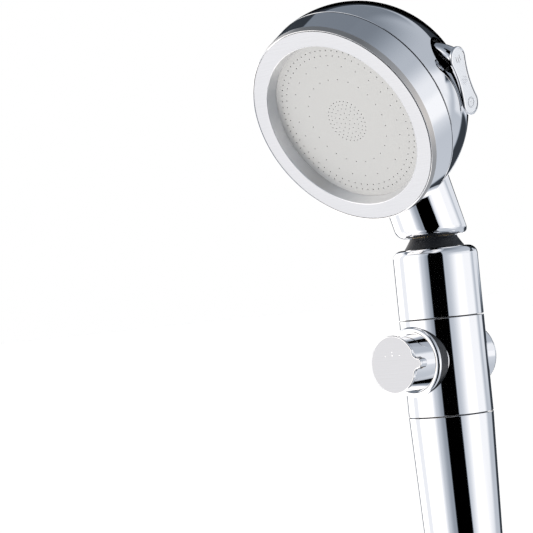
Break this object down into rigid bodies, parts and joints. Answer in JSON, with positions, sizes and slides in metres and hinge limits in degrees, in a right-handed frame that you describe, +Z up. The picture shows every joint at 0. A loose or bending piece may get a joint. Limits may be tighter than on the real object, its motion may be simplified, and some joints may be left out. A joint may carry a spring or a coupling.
{
  "type": "handheld shower head",
  "caption": "Handheld shower head: ball-shaped head with a flat spray face on a swivelling neck, mode rocker on its flank, tapering handle with a push-through stop valve and flow knob.",
  "frame": {"origin": "centre of the hose thread's end face, on the handle's axis", "axes": "+Z up the handle towards the head, -Y the way the spray face looks, +X towards the mode rocker"},
  "size_m": [0.0819, 0.0815, 0.2518],
  "materials": {
    "chrome": "bright plated ABS",
    "satin_chrome": "satin plated ring",
    "spray_plate": "fine matt stainless plate",
    "black_plastic": "moulded matt",
    "grey_plastic": "moulded, water parts",
    "white_plastic": "moulded, water parts",
    "brass": "turned",
    "rubber": "black seal",
    "steel": "stainless, plain"
  },
  "bodies": {
    "handle": {"lower_handle": "chrome", "inlet_connector": "chrome", "flow_regulator": "white_plastic", "filter_screen": "white_plastic", "water_tube": "grey_plastic", "water_tube_o_rings": "rubber", "valve_sleeve": "chrome", "knob_base_ring": "chrome", "valve_block": "grey_plastic", "upper_collar": "chrome", "swivel_spigot": "brass", "swivel_o_rings": "rubber", "swivel_cone": "black_plastic"},
    "head": {"rear_housing": "chrome", "front_ring": "chrome", "bezel_ring": "satin_chrome", "spray_plate": "spray_plate", "plate_gasket": "rubber", "distributor": "grey_plastic", "housing_seal": "rubber", "diverter_body": "grey_plastic", "diverter_screws": "steel", "feed_tube": "grey_plastic", "rocker_pin": "steel", "swivel_clip": "steel"},
    "rocker": {"mode_rocker": "chrome", "rocker_plate": "satin_chrome"},
    "slide": {"diverter_slide": "white_plastic", "detent_ball": "steel", "detent_spring": "steel"},
    "push": {"rear_button": "chrome"},
    "knob": {"flow_knob": "chrome", "knob_face": "satin_chrome", "knob_screw": "steel", "stop_spool": "brass", "spool_o_rings": "rubber"}
  },
  "joints": [
    {"name": "head_swivel", "type": "hinge", "parent": "handle", "child": "head", "pos_m": [0, 0, 0.1646], "axis": [0, 0, 1], "continuous": true},
    {"name": "mode_rocker", "type": "hinge", "parent": "head", "child": "rocker", "pos_m": [0.0303, -0.02227, 0.2187], "axis": [0, -0.8829, -0.4695], "range_deg": [0, 17.6]},
    {"name": "diverter_travel", "type": "slide", "parent": "head", "child": "slide", "axis": [0, 0.4695, -0.8829], "range_m": [0, 0.0044]},
    {"name": "stop_push", "type": "slide", "parent": "handle", "child": "push", "axis": [0, 1, 0], "range_m": [0, 0.0035]},
    {"name": "flow_turn", "type": "hinge", "parent": "push", "child": "knob", "pos_m": [0, 0, 0.119], "axis": [0, -1, 0], "range_deg": [-90, 90]}
  ],
  "couplings": [
    {"joint": "diverter_travel", "follows": "mode_rocker", "m_per_rad": 0.014}
  ]
}
